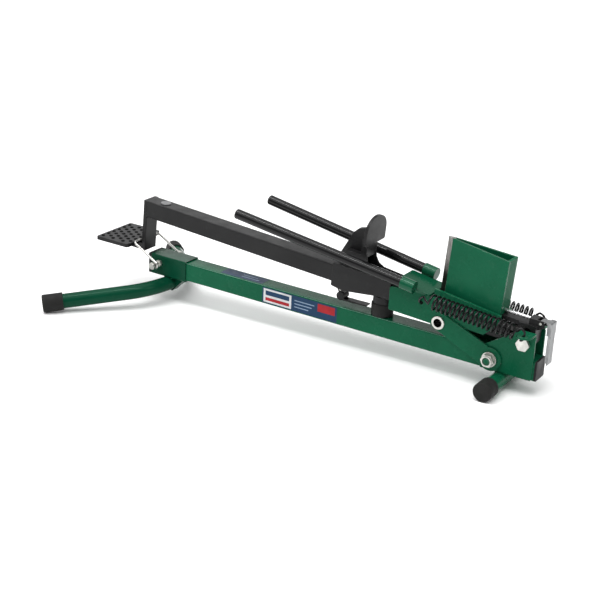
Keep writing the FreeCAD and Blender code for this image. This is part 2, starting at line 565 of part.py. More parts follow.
def make_release():
    """Galvanised plate hung from a pin at the fork's end, with a strip hanging behind the beam."""
    hinge = arm_point(HINGE_U, 0, HINGE_W)
    sheet = 2.5
    top = hinge.z + 4.6
    wide = hinge.x + 12
    knuckle = across(hinge.x, hinge.z, 4.6, -7.5, 7.5)
    neck = block(hinge.x, wide, -7.5, 7.5, top - sheet, top)
    step = 94.0               # where the wide hanger ends and the narrow strip begins
    hanger = round_edges(plate([(wide, top), (STRIP_X, top), (STRIP_X, step), (STRIP_X - sheet, step),
                                (STRIP_X - sheet, top - sheet), (wide, top - sheet)], -12.5, 12.5),
                         2.0, Y_AXIS, lambda edge: edge.CenterOfMass.x > STRIP_X - 0.1 and edge.CenterOfMass.z > 100)
    strip = block(STRIP_X - sheet, STRIP_X, -10.5, 10.5, STRIP_LOW, step)
    fold = plate([(STRIP_X - 8, top - 1), (STRIP_X - 1, top - 1), (STRIP_X - 1, step), (STRIP_X - 8, step)], 10, 12.5)
    low_fold = plate([(STRIP_X - 6, step + 6), (STRIP_X - 1, step + 6), (STRIP_X - 1, STRIP_LOW + 2),
                      (STRIP_X - 6, STRIP_LOW + 5)], 8, 10.5)
    whole = knuckle.fuse([neck, hanger, strip, fold, mirror(fold), low_fold, mirror(low_fold)])
    whole = whole.cut(across(hinge.x, hinge.z, 2.5 + RUNNING_FIT, -20, 20))
    add("release_plate", whole.removeSplitter())
    return hinge


# ---- pusher: carriage, fin, plate, pawl ---------------------------------------------------
CARRIAGE_LEFT = -361.0        # along the arm from the pivot
CARRIAGE_RIGHT = -228.0
CARRIAGE_INNER = 20.4
CARRIAGE_OUTER = 24.2
CARRIAGE_ROOF = ARM_TOP + 0.5
CARRIAGE_TOP = 84.5
BOX_HALF = 20.0
BOX_TOP = 118.0
NECK_TOP = 150.0
PLATE_U = -292.0              # back face of the push plate
PLATE_U_THICK = 6.0
PAWL_U = -345.0
PAWL_W = 28.0
PAWL_HALF = 6.0


def make_pusher():
    low = ARM_TOP - ARM_HEIGHT - 0.6
    side = plate([(CARRIAGE_LEFT, 36), (CARRIAGE_LEFT + 27, 32), (CARRIAGE_RIGHT, 50),
                  (CARRIAGE_RIGHT, CARRIAGE_TOP), (CARRIAGE_LEFT, CARRIAGE_TOP)], CARRIAGE_INNER, CARRIAGE_OUTER)
    roof = block(CARRIAGE_LEFT, CARRIAGE_RIGHT, -CARRIAGE_OUTER, CARRIAGE_OUTER, CARRIAGE_ROOF, CARRIAGE_TOP)
    lip = block(CARRIAGE_LEFT, CARRIAGE_LEFT + 61, PAWL_HALF + 3, CARRIAGE_OUTER, low - 4, low)
    shell = side.fuse([mirror(side), roof, lip, mirror(lip)]).removeSplitter()
    add("pusher_carriage", on_arm(shell))

    box = block(-340, PLATE_U, -BOX_HALF, BOX_HALF, CARRIAGE_TOP, BOX_TOP)
    hollow = block(-336, PLATE_U + 1, 4 - BOX_HALF, BOX_HALF - 4, CARRIAGE_TOP - 1, BOX_TOP - 4)
    neck = block(PLATE_U - 12, PLATE_U, -BOX_HALF, BOX_HALF, BOX_TOP - 4, NECK_TOP)
    fin_slot = block(-340, PLATE_U + 1, -5, 5, BOX_TOP, NECK_TOP + 1)
    add("pusher_box", on_arm(box.cut(hollow).fuse(neck).cut(fin_slot).removeSplitter()))
    fin = plate([(-357, CARRIAGE_TOP), (-357, 105), (-334, 153), (-323, 164), (-311, 167.5), (-303, 163),
                 (-297, 155), (PLATE_U, 150), (PLATE_U, BOX_TOP), (-340, BOX_TOP), (-340, CARRIAGE_TOP)], -5, 5)
    add("pusher_fin", on_arm(fin))

    shoulder = 143.0
    widest = 38.0
    head = 169.0
    crown = [V(PLATE_U, widest * math.cos(math.radians(15 * index)),
               head + 31 * math.sin(math.radians(15 * index))) for index in range(13)]
    curve = Part.BSplineCurve()
    curve.interpolate(crown)
    corners = [crown[-1], V(PLATE_U, -widest, shoulder + 3), V(PLATE_U, 3 - widest, shoulder),
               V(PLATE_U, widest - 3, shoulder), V(PLATE_U, widest, shoulder + 3), crown[0]]
    sides = [Part.LineSegment(a, b).toShape() for a, b in zip(corners, corners[1:])]
    face = Part.Face(Part.Wire([curve.toShape()] + sides))
    add("push_plate", on_arm(face.extrude(V(PLATE_U_THICK, 0, 0))))
    front = PLATE_U
    toe_end = CARRIAGE_RIGHT + 16
    toe = [(front, CARRIAGE_TOP), (front, 122), (front + 3, 108), (front + 10, 97), (front + 22, 91),
           (toe_end, CARRIAGE_TOP + 2), (toe_end, ARM_TOP + 0.5), (CARRIAGE_RIGHT, ARM_TOP + 0.5),
           (CARRIAGE_RIGHT, CARRIAGE_TOP)]
    add("pusher_toes", on_arm(both(plate(toe, BOX_HALF - 4, BOX_HALF))))

    cheek = plate([(PAWL_U - 11, low - 4), (PAWL_U + 11, low - 4), (PAWL_U + 6, PAWL_W - 5.5),
                   (PAWL_U - 6, PAWL_W - 5.5)], PAWL_HALF + 1, PAWL_HALF + 4)
    pin_bore = across(PAWL_U, PAWL_W, 3.0, -60, 60)
    add("pawl_cheeks", on_arm(both(cheek.cut(pin_bore))))
    add("pawl_pin", on_arm(across(PAWL_U, PAWL_W, 3.0, -PAWL_HALF - 6, PAWL_HALF + 6)))
    tip = RACK_TOP - RACK_THICK - TOOTH_DEPTH - 0.5
    tooth = plate([(PAWL_U - 17, tip), (PAWL_U - 11, tip), (PAWL_U + 6, PAWL_W + 6), (PAWL_U + 7, 12),
                   (PAWL_U - 6, 12), (PAWL_U - 7, PAWL_W + 4)], -PAWL_HALF, PAWL_HALF)
    add("pawl", on_arm(tooth.cut(across(PAWL_U, PAWL_W, 3.0 + RUNNING_FIT, -60, 60))))
    knob = across(PAWL_U + 1, 12.5, 9.0, -10, 10).cut(tooth)
    add("pawl_knob", on_arm(knob))
    strip = plate([(PAWL_U + 1, 3.5), (PAWL_U + 61, 8), (PAWL_U + 61, 11), (PAWL_U + 1, 6.5)], -8, 8)
    add("pawl_handle", on_arm(strip.cut(across(PAWL_U + 1, 12.5, 9.0, -20, 20)).cut(tooth)))


# ---- return springs -----------------------------------------------------------------------
def make_springs():
    lift = V(0, SPRING_Y, 0)
    coil = rod(SPRING_LEFT + lift, SPRING_RIGHT + lift, SPRING_DIAMETER / 2)
    coil = coil.cut(rod(SPRING_LEFT + lift, SPRING_RIGHT + lift, SPRING_DIAMETER / 2 - SPRING_WIRE))
    add("return_springs", both(coil))


def arm_frame(point):
    """Place of a beam-frame point in the arm's own frame."""
    place = FreeCAD.Placement(PIVOT, FreeCAD.Rotation(Y_AXIS, ARM_TILT))
    return place.inverse().multVec(point)


# ---- build, stand on the floor, export ----------------------------------------------------
make_beam()
make_sleeve()
leg_tip, leg_way = make_leg()
make_cross_tube()
make_bracket()
make_bed()
make_lever_plates()
make_arm()
make_pedal()
make_bail()
make_draw_gear()
make_wedge()
make_buffer()
release_hinge = make_release()
make_pusher()
make_springs()


def floor_slope():
    """Angle that brings the low rims of the leg feet level with the cross tube's feet."""
    fall = math.radians(LEG_TILT)
    axis = V(-leg_way[0] * math.cos(fall), leg_way[1], -leg_way[0] * math.sin(fall))
    slope = 0.0
    for _ in range(20):
        up = V(-math.sin(slope), 0, math.cos(slope))
        rim = CAP_RADIUS * math.sqrt(1 - up.dot(axis) ** 2)
        left_low = leg_tip.dot(up) - rim
        right_low = V(CROSS_X, 0, -TUBE / 2).dot(up) - CAP_RADIUS
        slope += (right_low - left_low) / (CROSS_X - leg_tip.x)
    return slope


slope = math.degrees(floor_slope())
whole = Part.makeCompound(list(pieces.values()))
whole = turned(whole, slope, V(0, 0, 0))
extent = whole.optimalBoundingBox(False)
feet = Part.makeCompound([pieces["leg_feet"], pieces["cross_tube_feet"]])
floor = turned(feet, slope, V(0, 0, 0)).optimalBoundingBox(False).ZMin
shift = V(-(extent.XMin + extent.XMax) / 2, -(extent.YMin + extent.YMax) / 2, -floor)


def stand(shape):
    placed = turned(shape, slope, V(0, 0, 0))
    placed.translate(shift)
    return placed


def stand_point(point):
    return FreeCAD.Rotation(Y_AXIS, slope).multVec(point) + shift


for name, shape in pieces.items():
    stand(shape).exportStep(f"parts/{name}.step")

print("nodes", len(pieces), "slope", round(slope, 4), "shift", shift)
print("size", extent)
print("pivot", stand_point(PIVOT))
print("anchor", stand_point(ANCHOR))
print("anchor in arm frame", arm_frame(ANCHOR))
print("arm tilt to floor", ARM_TILT + slope)
print("bail pivot", stand_point(BAIL_PIVOT))
print("release hinge", stand_point(release_hinge))
print("pawl pivot", stand_point(arm_point(PAWL_U, 0, PAWL_W)))
print("lock pin bush", stand_point(BUSH))
print("push face", stand_point(arm_point(PLATE_U + PLATE_U_THICK, 0, 165)))
print("pedal top", stand_point(V((PEDAL_LEFT + PEDAL_RIGHT) / 2, 0, PEDAL_TOP)))
print("beam end", stand_point(V(BEAM_END + 4, 0, HALF)))
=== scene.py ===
import bmesh
import bpy
import json
import math
from mathutils import Matrix, Vector


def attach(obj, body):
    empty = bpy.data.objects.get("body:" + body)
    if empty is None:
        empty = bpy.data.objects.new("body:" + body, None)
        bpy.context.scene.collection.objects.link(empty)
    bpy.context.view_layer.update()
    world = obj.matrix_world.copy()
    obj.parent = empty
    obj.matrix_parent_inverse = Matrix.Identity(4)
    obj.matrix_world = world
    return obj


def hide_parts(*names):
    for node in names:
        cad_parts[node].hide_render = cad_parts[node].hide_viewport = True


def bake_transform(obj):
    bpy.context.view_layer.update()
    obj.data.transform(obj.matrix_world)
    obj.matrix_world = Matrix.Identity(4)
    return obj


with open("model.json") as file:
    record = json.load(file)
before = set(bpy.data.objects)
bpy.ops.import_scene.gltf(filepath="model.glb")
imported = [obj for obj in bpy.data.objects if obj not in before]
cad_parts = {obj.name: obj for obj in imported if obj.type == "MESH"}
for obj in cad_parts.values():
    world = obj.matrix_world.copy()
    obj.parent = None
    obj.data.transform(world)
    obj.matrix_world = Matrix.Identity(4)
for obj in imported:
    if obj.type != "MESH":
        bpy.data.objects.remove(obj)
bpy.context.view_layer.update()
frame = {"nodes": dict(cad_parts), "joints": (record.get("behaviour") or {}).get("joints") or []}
NODES = frame["nodes"]
JOINTS = {joint["name"]: joint for joint in frame["joints"]}

# ---- places -------------------------------------------------------------------------------
# Places are given in the CAD's beam frame, in millimetres: X from the sleeve's left end towards
# the pivot, Y across (near side negative), Z up from the beam's underside.
PIVOT = Vector((820, 0, 24))
ARM_TILT = math.radians(3.77)
BEAM = 40.0
PLATE_OUTER = 28.4
SPRING_Y = 45.5
SPRING_LEFT = Vector((690, 0, 116))
SPRING_RIGHT = Vector((872, 0, 99.5))
SPRING_HOLE = Vector((668, 0, 100))
TAB = Vector((889, 0, 96))
COIL_RADIUS = 13.9
WIRE = 2.1
TURNS = 18
STEPS_PER_TURN = 20
COIL_START = 0.045            # shares of the spring's axis between which the coils lie
COIL_SHARE = 0.94
BUSH = Vector((707.6, 0, 68.8))
BUSH_BORE_EDGE = 0.0086       # metres from the bush's axis, where the painted shade of the bore gives way to the rim
BUSH_RIM = 0.0090
BLADE_FOOT = Vector((-128, 0, 96))      # foot of the ground nose, along and above the arm
BLADE_DARKENING = (0.030, 0.062)             # heights over the foot between which the darkening fades, metres
BOLT_END_Y = -PLATE_OUTER - 13.9        # near end of the pivot bolt
BOLT_END_RADIUS = 7.9
PEDAL_TOP = 64.0
PEDAL_ROWS = 6
PEDAL_COLUMNS = 6
PEDAL_FIRST_HOLE = (-114, -46)
PEDAL_STEP = (14, 18)
PEDAL_STAGGER = 9
PEDAL_LAST_HOLE = 50
HOLE_RADIUS = 2.75
RIM_RADIUS = 4.3
RIM_HEIGHT = 0.9

slide = JOINTS["pusher_slide"]["axis"]
SLOPE = math.atan2(-slide[2], slide[0]) - ARM_TILT
TURN = Matrix.Rotation(SLOPE, 3, "Y")
PIVOT_PLACE = Vector(JOINTS["arm_lift"]["pos_m"])


def at(x, y, z):
    """Floor-frame place in metres of a beam-frame point in millimetres."""
    return PIVOT_PLACE + TURN @ (Vector((x, y, z)) - PIVOT) / 1000


def arm(u, y, w):
    """Floor-frame place of a point given along and above the arm from the pivot."""
    offset = Matrix.Rotation(ARM_TILT, 3, "Y") @ Vector((u, y, w))
    return PIVOT_PLACE + TURN @ offset / 1000


# ---- materials ----------------------------------------------------------------------------
def new_material(name):
    material = bpy.data.materials.new(name)
    material.use_nodes = True
    tree = material.node_tree
    return material, tree, tree.nodes["Principled BSDF"]


def noise(tree, scale, detail=3.0, rough=0.5, stretch=(1, 1, 1)):
    place = tree.nodes.new("ShaderNodeTexCoord")
    mapping = tree.nodes.new("ShaderNodeMapping")
    mapping.inputs["Scale"].default_value = stretch
    tree.links.new(place.outputs["Object"], mapping.inputs["Vector"])
    made = tree.nodes.new("ShaderNodeTexNoise")
    made.inputs["Scale"].default_value = scale
    made.inputs["Detail"].default_value = detail
    made.inputs["Roughness"].default_value = rough
    tree.links.new(mapping.outputs["Vector"], made.inputs["Vector"])
    return made.outputs["Fac"]


def ramp(tree, source, low, high, at_low, at_high):
    """Colour ramp with two stops."""
    made = tree.nodes.new("ShaderNodeValToRGB")
    made.color_ramp.elements[0].position = low
    made.color_ramp.elements[0].color = at_low
    made.color_ramp.elements[1].position = high
    made.color_ramp.elements[1].color = at_high
    tree.links.new(source, made.inputs["Fac"])
    return made.outputs["Color"]


def grey(value):
    return (value, value, value, 1)


def mix(tree, factor, first, second):
    made = tree.nodes.new("ShaderNodeMix")
    made.data_type = "RGBA"
    tree.links.new(factor, made.inputs["Factor"])
    for socket, value in ((made.inputs[6], first), (made.inputs[7], second)):
        if isinstance(value, tuple):
            socket.default_value = value
        else:
            tree.links.new(value, socket)
    return made.outputs[2]


def edge_wear(tree, reach=0.0011, noise_scale=60):
    """White along convex and concave edges, broken up by noise."""
    rounded = tree.nodes.new("ShaderNodeBevel")
    rounded.samples = 4
    rounded.inputs["Radius"].default_value = reach
    geometry = tree.nodes.new("ShaderNodeNewGeometry")
    facing = tree.nodes.new("ShaderNodeVectorMath")
    facing.operation = "DOT_PRODUCT"
    tree.links.new(rounded.outputs["Normal"], facing.inputs[0])
    tree.links.new(geometry.outputs["Normal"], facing.inputs[1])
    edges = ramp(tree, facing.outputs["Value"], 0.80, 0.96, grey(1), grey(0))
    patch = ramp(tree, noise(tree, noise_scale, 6, 0.65), 0.44, 0.60, grey(0), grey(1))
    both = tree.nodes.new("ShaderNodeMath")
    both.operation = "MULTIPLY"
    tree.links.new(edges, both.inputs[0])
    tree.links.new(patch, both.inputs[1])
    return both.outputs[0]


def bump(tree, shader, parts, edge_radius=0.0008):
    """Chain of bumps on a slightly rounded edge normal. parts: (socket, strength, distance)."""
    rounded = tree.nodes.new("ShaderNodeBevel")
    rounded.samples = 4
    rounded.inputs["Radius"].default_value = edge_radius
    normal = rounded.outputs["Normal"]
    for source, strength, distance in parts:
        made = tree.nodes.new("ShaderNodeBump")
        made.inputs["Strength"].default_value = strength
        made.inputs["Distance"].default_value = distance
        tree.links.new(source, made.inputs["Height"])
        tree.links.new(normal, made.inputs["Normal"])
        normal = made.outputs["Normal"]
    tree.links.new(normal, shader.inputs["Normal"])


def paint(name, base, dark, chip, rough_low, rough_high, specular, grain_scale, grain, speck=0.04,
          tint=(1, 1, 1)):
    """Enamel or powder coat: mottled colour, orange peel, rub marks and worn edges."""
    material, tree, shader = new_material(name)
    colour = ramp(tree, noise(tree, 9, 4), 0.35, 0.65, (*dark, 1), (*base, 1))
    dust = ramp(tree, noise(tree, 48, 8, 0.7), 0.56, 0.85, grey(0), grey(speck))
    colour = mix(tree, dust, colour, (0.30, 0.31, 0.29, 1))
    colour = mix(tree, edge_wear(tree), colour, (*chip, 1))
    tree.links.new(colour, shader.inputs["Base Color"])
    rough = ramp(tree, noise(tree, 34, 6, 0.6), 0.3, 0.75, grey(rough_low), grey(rough_high))
    tree.links.new(rough, shader.inputs["Roughness"])
    shader.inputs["Specular IOR Level"].default_value = specular
    shader.inputs["Specular Tint"].default_value = (*tint, 1)
    scratches = noise(tree, 55, 5, 0.7, (1, 9, 9))
    bump(tree, shader, [(noise(tree, grain_scale, 2), grain, 0.0004), (scratches, 0.05, 0.0002)])
    return material


def metal(name, base, dark, rough_low, rough_high, stretch, streak=0.15, stain=(0.3, 0.3, 0.29)):
    """Bare or plated steel with fine directional streaks and faint stains."""
    material, tree, shader = new_material(name)
    streaks = noise(tree, 90, 6, 0.6, stretch)
    colour = ramp(tree, streaks, 0.3, 0.7, (*dark, 1), (*base, 1))
    spots = ramp(tree, noise(tree, 40, 6, 0.7), 0.6, 0.75, grey(0), grey(0.5))
    tree.links.new(mix(tree, spots, colour, (*stain, 1)), shader.inputs["Base Color"])
    shader.inputs["Metallic"].default_value = 0.9
    rough = ramp(tree, noise(tree, 60, 5, 0.6, stretch), 0.3, 0.7, grey(rough_low), grey(rough_high))
    tree.links.new(rough, shader.inputs["Roughness"])
    bump(tree, shader, [(streaks, streak, 0.0002), (noise(tree, 300, 3), 0.06, 0.0002)])
    return material


def soft(name, base, dark, rough_low, rough_high, grain_scale, grain):
    """Rubber or moulded plastic with a fine pebbled skin and pale scuffs."""
    material, tree, shader = new_material(name)
    colour = ramp(tree, noise(tree, 20, 6), 0.3, 0.7, (*dark, 1), (*base, 1))
    scuff = ramp(tree, noise(tree, 70, 8, 0.75), 0.60, 0.82, grey(0), grey(0.25))
    tree.links.new(mix(tree, scuff, colour, (0.09, 0.088, 0.085, 1)), shader.inputs["Base Color"])
    shader.inputs["Specular IOR Level"].default_value = 0.18
    rough = ramp(tree, noise(tree, 45, 5), 0.3, 0.7, grey(rough_low), grey(rough_high))
    tree.links.new(rough, shader.inputs["Roughness"])
    bump(tree, shader, [(noise(tree, grain_scale, 3), grain, 0.0003)], 0.0012)
    return material


def darken(material, place, axes, near, far, dark):
    """Darkening that fades out between two distances from a place, measured only along the given axes."""
    tree = material.node_tree
    shader = tree.nodes["Principled BSDF"]
    undarkened = shader.inputs["Base Color"].links[0].from_socket
    spot = tree.nodes.new("ShaderNodeTexCoord")
    away = tree.nodes.new("ShaderNodeVectorMath")
    away.operation = "SUBTRACT"
    away.inputs[1].default_value = place
    tree.links.new(spot.outputs["Object"], away.inputs[0])
    kept = tree.nodes.new("ShaderNodeVectorMath")
    kept.operation = "MULTIPLY"
    kept.inputs[1].default_value = axes
    tree.links.new(away.outputs[0], kept.inputs[0])
    size = tree.nodes.new("ShaderNodeVectorMath")
    size.operation = "LENGTH"
    tree.links.new(kept.outputs[0], size.inputs[0])
    share = tree.nodes.new("ShaderNodeMapRange")
    share.inputs["From Min"].default_value = near
    share.inputs["From Max"].default_value = far
    tree.links.new(size.outputs["Value"], share.inputs["Value"])
    tree.links.new(mix(tree, share.outputs["Result"], (*dark, 1), undarkened), shader.inputs["Base Color"])
    return material


ENAMEL = (0.0045, 0.092, 0.043)
ENAMEL_DARK = (0.003, 0.074, 0.034)
GREEN_SHEEN = (0.6, 1, 0.8)
PLATING = (0.66, 0.65, 0.61)
PLATING_DARK = (0.42, 0.42, 0.40)

green = paint("green_enamel", ENAMEL, ENAMEL_DARK, (0.13, 0.22, 0.17),
              0.20, 0.34, 0.13, 420, 0.10, tint=GREEN_SHEEN)
# Darker copy of the green enamel for the leg, end sleeve and gusset: painted shade on the same paint as
# the rest.
painted_shade_green = paint("painted_shade_enamel", (0.0022, 0.046, 0.023), (0.0016, 0.037, 0.018), (0.08, 0.14, 0.11),
                   0.12, 0.24, 0.11, 420, 0.08, tint=GREEN_SHEEN)
# Slightly darker copy of the green enamel with its reflection turned down, for the wedge's back face:
# painted shade.
matte_painted_shade_green = paint("matte_painted_shade_enamel", (0.0042, 0.088, 0.041), (0.0032, 0.074, 0.034), (0.12, 0.20, 0.155),
                    0.30, 0.44, 0.035, 420, 0.10, tint=GREEN_SHEEN)
# Darker, glossier copy of the green enamel for the bar sockets and cross plate: the darker colour is
# painted shade, the gloss is the finish.
gloss_painted_shade_green = paint("gloss_painted_shade_enamel", (0.0036, 0.072, 0.034), (0.0026, 0.058, 0.027), (0.12, 0.22, 0.17),
                    0.07, 0.14, 0.30, 420, 0.05, tint=(0.7, 1, 0.85))
black = paint("black_powder_coat", (0.012, 0.012, 0.0125), (0.008, 0.008, 0.0085), (0.09, 0.09, 0.09),
              0.30, 0.46, 0.20, 700, 0.22, 0.03)
bright_black = paint("black_gloss_bar", (0.007, 0.007, 0.0075), (0.005, 0.005, 0.0055), (0.10, 0.10, 0.10),
                     0.05, 0.10, 0.24, 500, 0.03, 0.01)
rack_black = paint("oiled_rack", (0.02, 0.019, 0.018), (0.012, 0.011, 0.011), (0.2, 0.2, 0.2),
                   0.3, 0.5, 0.3, 300, 0.2, 0.05)
zinc = metal("zinc_plate", PLATING, PLATING_DARK, 0.24, 0.42, (1, 1, 1), 0.08)
galvanised = metal("galvanised_sheet", (0.32, 0.325, 0.325), (0.15, 0.155, 0.16), 0.30, 0.5,
                   (1, 5, 0.6), 0.12)
chrome = metal("chromed_rod", (0.78, 0.78, 0.79), (0.62, 0.62, 0.63), 0.07, 0.16, (1, 12, 12), 0.04)
ground = metal("ground_steel", (0.44, 0.43, 0.41), (0.10, 0.098, 0.095), 0.22, 0.42, (14, 14, 0.5), 0.3,
               (0.07, 0.06, 0.05))
# The ground steel is made darker towards the bottom of the blade.
darken(ground, arm(*BLADE_FOOT), (0, 0, 1), *BLADE_DARKENING, (0.035, 0.031, 0.027))
bush_plating_with_painted_bore_shade = metal("bush_plating_painted_bore_shade", PLATING, PLATING_DARK, 0.24, 0.42, (1, 1, 1), 0.08)
# Painted shade: the lock-pin bush is darkened in and round its bore, out to BUSH_BORE_EDGE from the axis.
darken(bush_plating_with_painted_bore_shade, at(*BUSH), (1, 0, 1), BUSH_BORE_EDGE, BUSH_RIM, (0.02, 0.019, 0.018))
wire_metal = metal("bright_wire", (0.70, 0.69, 0.66), (0.46, 0.455, 0.44), 0.18, 0.32, (1, 1, 1), 0.06)
spring_black = paint("black_spring_wire", (0.010, 0.010, 0.0105), (0.006, 0.006, 0.0065),
                     (0.12, 0.12, 0.12), 0.20, 0.34, 0.26, 500, 0.12, 0.02)
rubber = soft("black_rubber", (0.016, 0.016, 0.0155), (0.010, 0.010, 0.0095), 0.55, 0.8, 600, 0.3)
plastic = soft("black_plastic", (0.013, 0.013, 0.0135), (0.009, 0.009, 0.0095), 0.38, 0.55, 900, 0.15)
grey_plastic = soft("grey_plastic", (0.20, 0.20, 0.205), (0.15, 0.15, 0.155), 0.4, 0.55, 800, 0.15)
weld_green = paint("painted_weld", ENAMEL, ENAMEL_DARK, (0.09, 0.15, 0.12),
                   0.22, 0.36, 0.16, 260, 0.35, tint=GREEN_SHEEN)

FINISH = {
    painted_shade_green: ["stabiliser_leg", "end_sleeve", "leg_gusset"],
    matte_painted_shade_green: ["wedge_back"],
    gloss_painted_shade_green: ["bar_sockets", "cross_plate"],
    black: ["arm_tube", "arm_post", "pedal_plate", "pedal_bracket", "bail_lugs", "pusher_carriage",
            "pusher_box", "pusher_fin", "push_plate", "pusher_toes", "buffer_stem", "draw_fork",
            "pawl", "pawl_cheeks", "pawl_handle", "rack_guides"],
    bright_black: ["log_bar_far", "log_bar_near"],
    rack_black: ["draw_rack"],
    zinc: ["latch_bolt", "latch_nuts", "pivot_washers", "pivot_bolt", "pivot_nut", "pivot_spacer",
           "pivot_bushes", "anchor_bolt", "anchor_nut", "anchor_spacers",
           "release_pin", "pawl_pin"],
    bush_plating_with_painted_bore_shade: ["lock_pin_bush"],
    galvanised: ["release_plate"],
    chrome: ["guide_rod"],
    ground: ["wedge_blade"],
    wire_metal: ["wire_bail"],
    rubber: ["leg_feet", "cross_tube_feet", "rubber_buffer"],
    plastic: ["beam_end_cap", "sleeve_end_plug", "pawl_knob"],
    grey_plastic: ["arm_button"],
}
finish_of = {name: material for material, names in FINISH.items() for name in names}
for name, thing in NODES.items():
    thing.data.materials.clear()
    thing.data.materials.append(finish_of.get(name, green))


# ---- pieces -------------------------------------------------------------------------------
def finish_piece(thing, body, material, smooth=True):
    thing.data.materials.append(material)
    for face in thing.data.polygons:
        face.use_smooth = smooth
    if body:
        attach(thing, body)
    return thing


def mesh_piece(name, mesh):
    thing = bpy.data.objects.new(name, mesh)
    bpy.context.scene.collection.objects.link(thing)
    return thing


def skin(build, rings):
    """Faces between each ring of vertices and the next."""
    for first, second in zip(rings, rings[1:]):
        for step in range(len(first)):
            other = (step + 1) % len(first)
            build.faces.new((first[step], first[other], second[other], second[step]))


def as_piece(name, build, outward=True):
    """Object made from the faces built so far, with all normals outward when it is closed."""
    if outward:
        bmesh.ops.recalc_face_normals(build, faces=build.faces)
    mesh = bpy.data.meshes.new(name)
    build.to_mesh(mesh)
    build.free()
    return mesh_piece(name, mesh)


def tube(name, points, radius, sides=10):
    """Round wire that follows the points, with closed ends."""
    build = bmesh.new()
    rings = []
    side = None
    for index, point in enumerate(points):
        before = points[max(index - 1, 0)]
        after = points[min(index + 1, len(points) - 1)]
        along = (after - before).normalized()
        if side is None:
            side = along.orthogonal().normalized()
        side = (side - along * side.dot(along)).normalized()
        up = along.cross(side)
        ring = []
        for step in range(sides):
            angle = 2 * math.pi * step / sides
            ring.append(build.verts.new(point + (side * math.cos(angle) + up * math.sin(angle)) * radius))
        rings.append(ring)
    skin(build, rings)
    build.faces.new(list(reversed(rings[0])))
    build.faces.new(rings[-1])
    return as_piece(name, build)


def smooth_path(points, steps=6):
    """Catmull-Rom curve through the points."""
    padded = [points[0]] + points + [points[-1]]
    path = []
    for a, b, c, d in zip(padded, padded[1:], padded[2:], padded[3:]):
        for step in range(steps):
            t = step / steps
            path.append(0.5 * (2 * b + (c - a) * t + (2 * a - 5 * b + 4 * c - d) * t * t
                               + (3 * b - a - 3 * c + d) * t ** 3))
    path.append(points[-1])
    return path


def spring(side, name):
    """Tension spring from a lever plate's hole to an ear of the base, with a hook at each end."""
    axis = SPRING_RIGHT - SPRING_LEFT
    along = axis.normalized()
    up = Vector((0, 1, 0)).cross(along) * -1
    centre = SPRING_LEFT + Vector((0, side * SPRING_Y, 0))
    coil = []
    steps = TURNS * STEPS_PER_TURN
    for step in range(steps + 1):
        angle = 2 * math.pi * step / STEPS_PER_TURN
        ring = Vector((0, side, 0)) * math.cos(angle) + up * math.sin(angle)
        coil.append(centre + axis * (COIL_START + COIL_SHARE * step / steps) + ring * COIL_RADIUS)
    start = centre - along * 8
    end = centre + axis + along * 4
    y = side * SPRING_Y
    left = [Vector((SPRING_HOLE.x + 1, side * 23.0, SPRING_HOLE.z - 1)),
            Vector((SPRING_HOLE.x - 0.5, side * 27.5, SPRING_HOLE.z)),
            Vector((SPRING_HOLE.x - 2, side * 33, SPRING_HOLE.z + 4)),
            Vector((SPRING_HOLE.x + 2, side * 37, SPRING_HOLE.z + 12)),
            start + Vector((-3, -side * 4, 2)),
            start + Vector((5, side * 6, 1))]
    right = [end + Vector((-6, side * 7, -1)),
             Vector((TAB.x - 11, y + side * 2, TAB.z + 12)),
             Vector((TAB.x - 5, y, TAB.z + 13)),
             Vector((TAB.x + 1.5, y, TAB.z + 8)),
             Vector((TAB.x + 1.0, y, TAB.z - 1)),
             Vector((TAB.x - 1, y, TAB.z - 8)),
             Vector((TAB.x - 6, y, TAB.z - 10))]
    line = smooth_path(left)[:-1] + coil + smooth_path(right)[1:]
    thing = tube(name, [at(*point) for point in line], WIRE / 1000, 8)
    finish_piece(thing, None, spring_black)
    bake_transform(thing)
    return thing


near_spring = spring(-1, "return_spring_coil_near")
spring(1, "return_spring_coil_far")
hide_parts("return_springs")


def weld(name, points, body, width=0.0022, material=None):
    """Rippled fillet weld along a line. width is the bead's radius in metres."""
    sides = 8
    straight_steps = 40
    path = smooth_path(points, 10) if len(points) > 2 else [
        points[0].lerp(points[1], step / straight_steps) for step in range(straight_steps + 1)]
    bead = tube(name, path, width, sides)
    count = len(path)
    for index, vertex in enumerate(bead.data.vertices):
        ring = min(index // sides, count - 1)
        centre = path[ring]
        vertex.co = centre + (vertex.co - centre) * (0.85 + 0.22 * math.sin(ring * 1.9))
    return finish_piece(bead, body, material or weld_green)


def both_sides(name, make, body, width=0.0018, material=None):
    """The same weld on the near and the far side. make(side) gives its points."""
    for side, word in ((-1, "near"), (1, "far")):
        weld(f"{name}_{word}", make(side), body, width, material)


POST_FACE = -837.2            # along the arm, where its end meets the post
BRACKET_END = 905.8
BRACKET_LOW = 1.4
BOX_SIDE = 20.8
BOX_FOOT = 85.2
PUSH_PLATE_BACK = -304.8
TUBE_JOINTS = (("cross", 839, -3.0), ("leg", 44.6, -5.8))     # name, place along the beam, height
TUBE_REACH = 8.6
TUBE_HALF = 18

